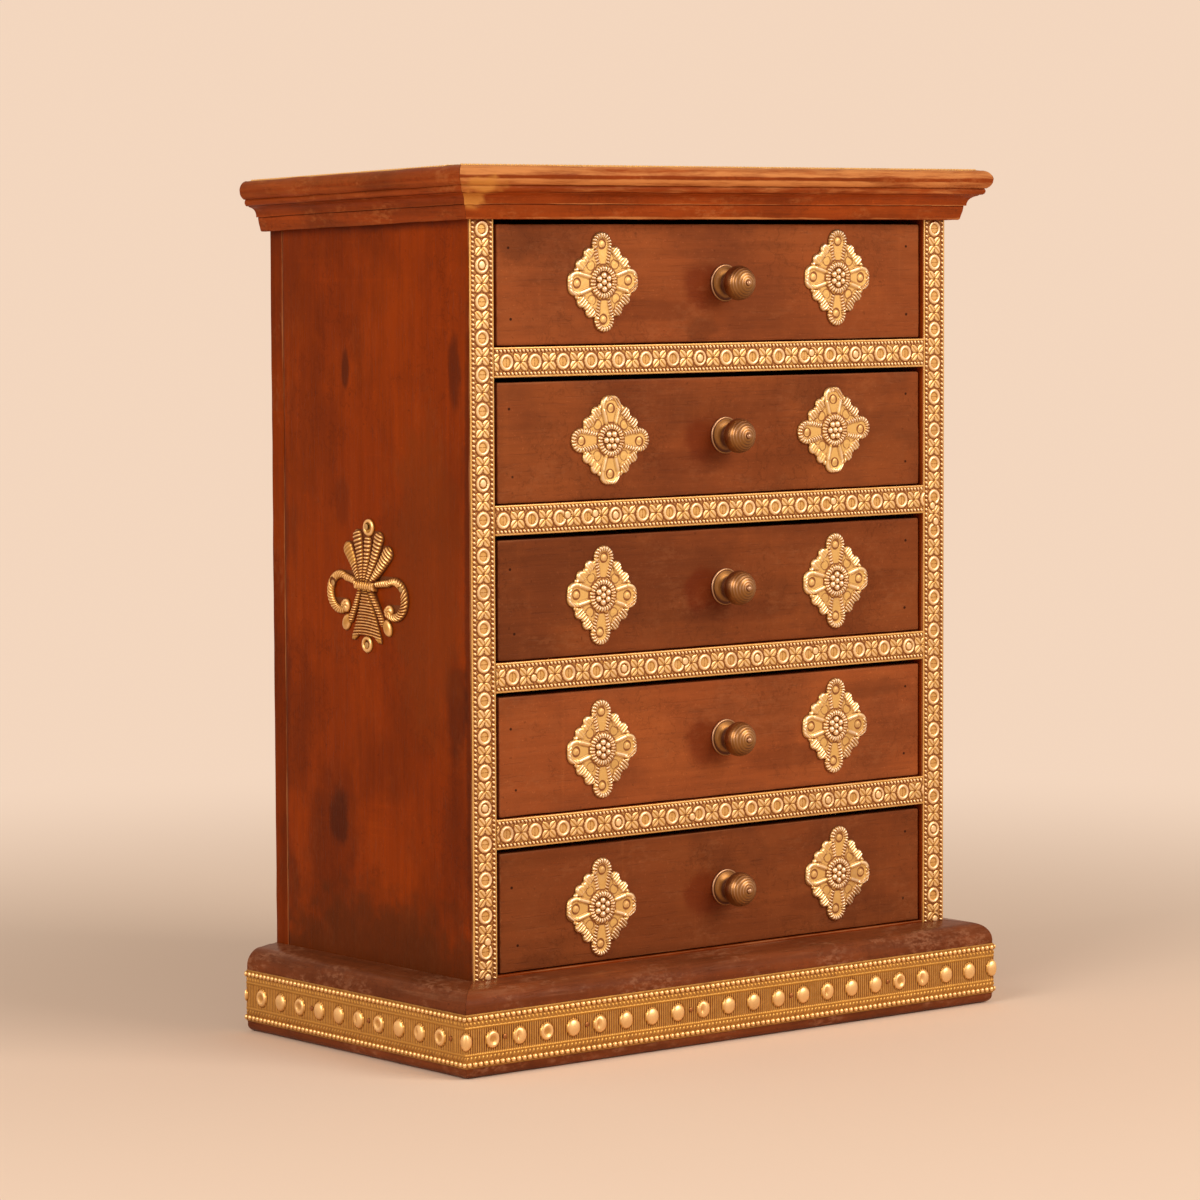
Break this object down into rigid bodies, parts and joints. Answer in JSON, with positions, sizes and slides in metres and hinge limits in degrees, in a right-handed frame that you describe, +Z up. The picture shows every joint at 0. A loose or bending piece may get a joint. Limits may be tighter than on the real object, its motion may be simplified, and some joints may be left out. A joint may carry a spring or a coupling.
{
  "type": "chest of drawers",
  "caption": "Table-top wooden chest of drawers with moulded cornice and plinth, embossed brass strips, brass knobs and lozenge mounts; each drawer slides out to the front.",
  "frame": {"origin": "under the middle of the footprint, on the floor", "axes": "+Z up, drawers face -Y, +X to the right of a person who faces the drawers"},
  "size_m": [0.2474, 0.1294, 0.306],
  "materials": {
    "side_wood": "worn oil-stained hardwood, satin",
    "carcass_wood": "stained hardwood, matt",
    "cornice_wood": "stained hardwood with rubbed edges, satin",
    "plinth_wood": "dark stained hardwood, satin",
    "drawer_wood": "stained hardwood with straight grain, satin",
    "drawer_box_wood": "bare hardwood, matt",
    "strip_brass": "embossed sheet brass, aged in the recesses",
    "mount_brass": "cast brass, bright with dull recesses",
    "mount_bronze": "cast brass, aged dark",
    "knob_brass": "turned brass, aged brown",
    "pin_brass": "hammered brass, dull",
    "nail_iron": "dark iron nail heads"
  },
  "bodies": {
    "carcass": {"left_side_panel": "side_wood", "right_side_panel": "side_wood", "back_panel": "carcass_wood", "floor_board": "carcass_wood", "top_board": "carcass_wood", "cornice_front": "cornice_wood", "cornice_left": "cornice_wood", "cornice_right": "cornice_wood", "plinth_front": "plinth_wood", "plinth_left": "plinth_wood", "plinth_right": "plinth_wood", "divider_1": "carcass_wood", "divider_2": "carcass_wood", "divider_3": "carcass_wood", "divider_4": "carcass_wood", "stile_strip_left": "strip_brass", "stile_strip_right": "strip_brass", "rail_strips": "strip_brass", "top_strips": "strip_brass", "plinth_strip": "strip_brass", "side_mounts": "mount_bronze", "side_mount_pins": "pin_brass", "cornice_nails": "nail_iron"},
    "drawer_1": {"drawer_1_front": "drawer_wood", "drawer_1_sides": "drawer_box_wood", "drawer_1_back": "drawer_box_wood", "drawer_1_bottom": "drawer_box_wood", "drawer_1_knob": "knob_brass", "drawer_1_mounts": "mount_brass", "drawer_1_pins": "pin_brass"},
    "drawer_2": {"drawer_2_front": "drawer_wood", "drawer_2_sides": "drawer_box_wood", "drawer_2_back": "drawer_box_wood", "drawer_2_bottom": "drawer_box_wood", "drawer_2_knob": "knob_brass", "drawer_2_mounts": "mount_brass", "drawer_2_pins": "pin_brass"},
    "drawer_3": {"drawer_3_front": "drawer_wood", "drawer_3_sides": "drawer_box_wood", "drawer_3_back": "drawer_box_wood", "drawer_3_bottom": "drawer_box_wood", "drawer_3_knob": "knob_brass", "drawer_3_mounts": "mount_brass", "drawer_3_pins": "pin_brass"},
    "drawer_4": {"drawer_4_front": "drawer_wood", "drawer_4_sides": "drawer_box_wood", "drawer_4_back": "drawer_box_wood", "drawer_4_bottom": "drawer_box_wood", "drawer_4_knob": "knob_brass", "drawer_4_mounts": "mount_brass", "drawer_4_pins": "pin_brass"},
    "drawer_5": {"drawer_5_front": "drawer_wood", "drawer_5_sides": "drawer_box_wood", "drawer_5_back": "drawer_box_wood", "drawer_5_bottom": "drawer_box_wood", "drawer_5_knob": "knob_brass", "drawer_5_mounts": "mount_brass", "drawer_5_pins": "pin_brass"}
  },
  "joints": [
    {"name": "drawer_1_slide", "type": "slide", "parent": "carcass", "child": "drawer_1", "axis": [0, -1, 0], "range_m": [0, 0.08]},
    {"name": "drawer_2_slide", "type": "slide", "parent": "carcass", "child": "drawer_2", "axis": [0, -1, 0], "range_m": [0, 0.08]},
    {"name": "drawer_3_slide", "type": "slide", "parent": "carcass", "child": "drawer_3", "axis": [0, -1, 0], "range_m": [0, 0.08]},
    {"name": "drawer_4_slide", "type": "slide", "parent": "carcass", "child": "drawer_4", "axis": [0, -1, 0], "range_m": [0, 0.08]},
    {"name": "drawer_5_slide", "type": "slide", "parent": "carcass", "child": "drawer_5", "axis": [0, -1, 0], "range_m": [0, 0.08]}
  ]
}
